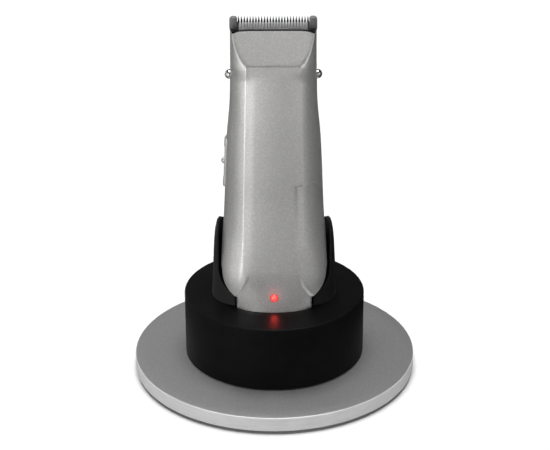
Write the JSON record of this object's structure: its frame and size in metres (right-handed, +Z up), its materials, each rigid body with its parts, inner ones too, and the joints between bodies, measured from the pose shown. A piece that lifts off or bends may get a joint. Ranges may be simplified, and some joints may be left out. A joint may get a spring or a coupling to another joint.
{
  "type": "body groomer",
  "caption": "Cordless hair and body trimmer with a wide toothed blade, standing in a round charging stand.",
  "frame": {"origin": "centre of the stand's underside, on the table", "axes": "+Z up along the trimmer towards its blade, -Y towards the front panel, +X to the right seen from the front"},
  "size_m": [0.11, 0.11, 0.1438],
  "materials": {
    "silver_paint": "silver metallic lacquer with fine sparkle",
    "plate_metal": "satin silver",
    "black_plastic": "matt black, finely textured",
    "foot_rubber": "matt",
    "steel": "plain",
    "blade_steel": "ground",
    "bright_stud": "polished",
    "contact_gold": "gold plated",
    "white_plastic": "natural",
    "board_green": "solder mask",
    "cell_wrap": "printed-free shrink wrap over a metal can",
    "red_lens": "clear red, lit"
  },
  "bodies": {
    "stand": {"base_plate": "plate_metal", "rubber_foot_1": "foot_rubber", "rubber_foot_2": "foot_rubber", "rubber_foot_3": "foot_rubber", "rubber_foot_4": "foot_rubber", "dock_screw_1": "steel", "dock_screw_2": "steel", "dock_screw_3": "steel", "dock_housing": "black_plastic", "power_jack": "black_plastic", "cradle": "black_plastic", "socket_cup": "black_plastic", "contact_block": "black_plastic", "contact_spring_left": "steel", "contact_spring_right": "steel", "dock_board": "board_green"},
    "contact_left": {"contact_pin_left": "contact_gold"},
    "contact_right": {"contact_pin_right": "contact_gold"},
    "trimmer": {"front_housing": "silver_paint", "rear_housing": "silver_paint", "housing_screw_lower": "steel", "housing_screw_left": "steel", "housing_screw_right": "steel", "charge_contact_left": "contact_gold", "charge_contact_right": "contact_gold", "circuit_board": "board_green", "status_light": "red_lens", "light_lens": "red_lens", "battery_cell": "cell_wrap", "battery_tab_top": "steel", "battery_tab_bottom": "steel", "switch_plate": "silver_paint", "switch_body": "black_plastic", "motor": "steel", "motor_end_cap": "white_plastic", "motor_bracket": "black_plastic", "catch_spring_left": "steel", "catch_spring_right": "steel"},
    "rotor": {"motor_shaft": "steel", "eccentric_cam": "white_plastic"},
    "switch": {"switch_button": "silver_paint"},
    "catch_left": {"comb_catch_left": "bright_stud"},
    "catch_right": {"comb_catch_right": "bright_stud"},
    "blade_set": {"fixed_blade": "blade_steel", "blade_holder": "black_plastic", "blade_screw_left": "steel", "blade_screw_right": "steel", "blade_spring": "steel"},
    "cutter": {"moving_blade": "blade_steel", "drive_fork": "white_plastic"}
  },
  "joints": [
    {"name": "trimmer_lift", "type": "slide", "parent": "stand", "child": "trimmer", "axis": [0, 0, 1], "range_m": [0, 0.06]},
    {"name": "contact_left_press", "type": "slide", "parent": "stand", "child": "contact_left", "axis": [0, 0, -1], "range_m": [0, 0.0012], "stiffness_N_per_m": 300, "springref_m": -0.0006, "deforming": ["contact_spring_left"]},
    {"name": "contact_right_press", "type": "slide", "parent": "stand", "child": "contact_right", "axis": [0, 0, -1], "range_m": [0, 0.0012], "stiffness_N_per_m": 300, "springref_m": -0.0006, "deforming": ["contact_spring_right"]},
    {"name": "motor_spin", "type": "hinge", "parent": "trimmer", "child": "rotor", "pos_m": [0, -0.0015, 0.12], "axis": [0, 0, 1], "continuous": true},
    {"name": "switch_slide", "type": "slide", "parent": "trimmer", "child": "switch", "axis": [0, 0, 1], "range_m": [0, 0.004]},
    {"name": "catch_left_press", "type": "slide", "parent": "trimmer", "child": "catch_left", "axis": [1, 0, 0], "range_m": [0, 0.001], "stiffness_N_per_m": 400, "springref_m": -0.001, "deforming": ["catch_spring_left"]},
    {"name": "catch_right_press", "type": "slide", "parent": "trimmer", "child": "catch_right", "axis": [-1, 0, 0], "range_m": [0, 0.001], "stiffness_N_per_m": 400, "springref_m": -0.001, "deforming": ["catch_spring_right"]},
    {"name": "blade_set_release", "type": "slide", "parent": "trimmer", "child": "blade_set", "axis": [0, 0, 1], "range_m": [0, 0.014]},
    {"name": "blade_slide", "type": "slide", "parent": "blade_set", "child": "cutter", "axis": [1, 0, 0], "range_m": [-0.0005, 0.0005]}
  ]
}
